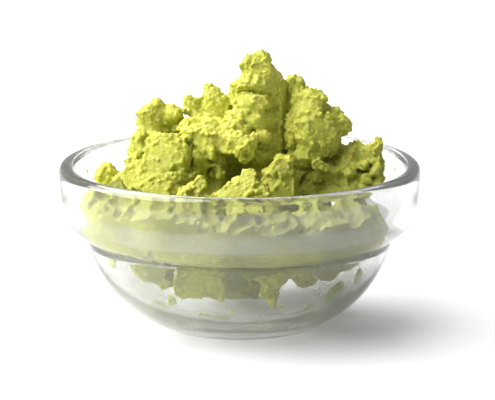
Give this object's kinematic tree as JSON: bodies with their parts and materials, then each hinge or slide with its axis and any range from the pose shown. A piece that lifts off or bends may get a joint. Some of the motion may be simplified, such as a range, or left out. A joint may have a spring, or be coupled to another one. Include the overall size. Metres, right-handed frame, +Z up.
{
  "type": "glass bowl of wasabi paste",
  "caption": "Small clear glass stacking bowl with an upright banded rim, heaped with crumbly lumps of green wasabi paste.",
  "frame": {"origin": "on the bowl's axis, at the surface that the foot ring stands on", "axes": "+Z up along the bowl's axis, -Y towards the fuller front of the heap, +X to the right seen from the front"},
  "size_m": [0.09, 0.09, 0.0686],
  "materials": {
    "glass": "clear pressed glass, milky with a film of paste inside",
    "paste": "moist crumbly paste, matt with fine grain",
    "smeared_paste": "thin paste smeared on glass, slightly moist"
  },
  "bodies": {
    "root": {"glass_bowl": "glass", "paste_chunk_back": "paste", "paste_chunk_front_high": "paste", "paste_chunk_front_left": "paste", "paste_chunk_front_right": "paste", "paste_chunk_left": "paste", "paste_chunk_left_high": "paste", "paste_chunk_right": "paste", "paste_chunk_side_left": "paste", "paste_chunk_side_right": "paste", "paste_core": "paste", "paste_lump_back": "paste", "paste_lump_back_left": "paste", "paste_lump_back_right": "paste", "paste_lump_crest": "paste", "paste_lump_far_left": "paste", "paste_lump_far_right": "paste", "paste_lump_front": "paste", "paste_lump_front_left": "paste", "paste_lump_left": "paste", "paste_lump_left_top": "paste", "paste_lump_peak": "paste", "paste_lump_right": "paste", "paste_lump_shelf": "paste", "paste_slab_front": "paste", "paste_smear_01": "smeared_paste", "paste_smear_02": "smeared_paste", "paste_smear_03": "smeared_paste", "paste_smear_04": "smeared_paste", "paste_smear_05": "smeared_paste", "paste_smear_06": "smeared_paste", "paste_smear_07": "smeared_paste", "paste_smear_08": "smeared_paste", "paste_smear_09": "smeared_paste"}
  },
  "joints": []
}
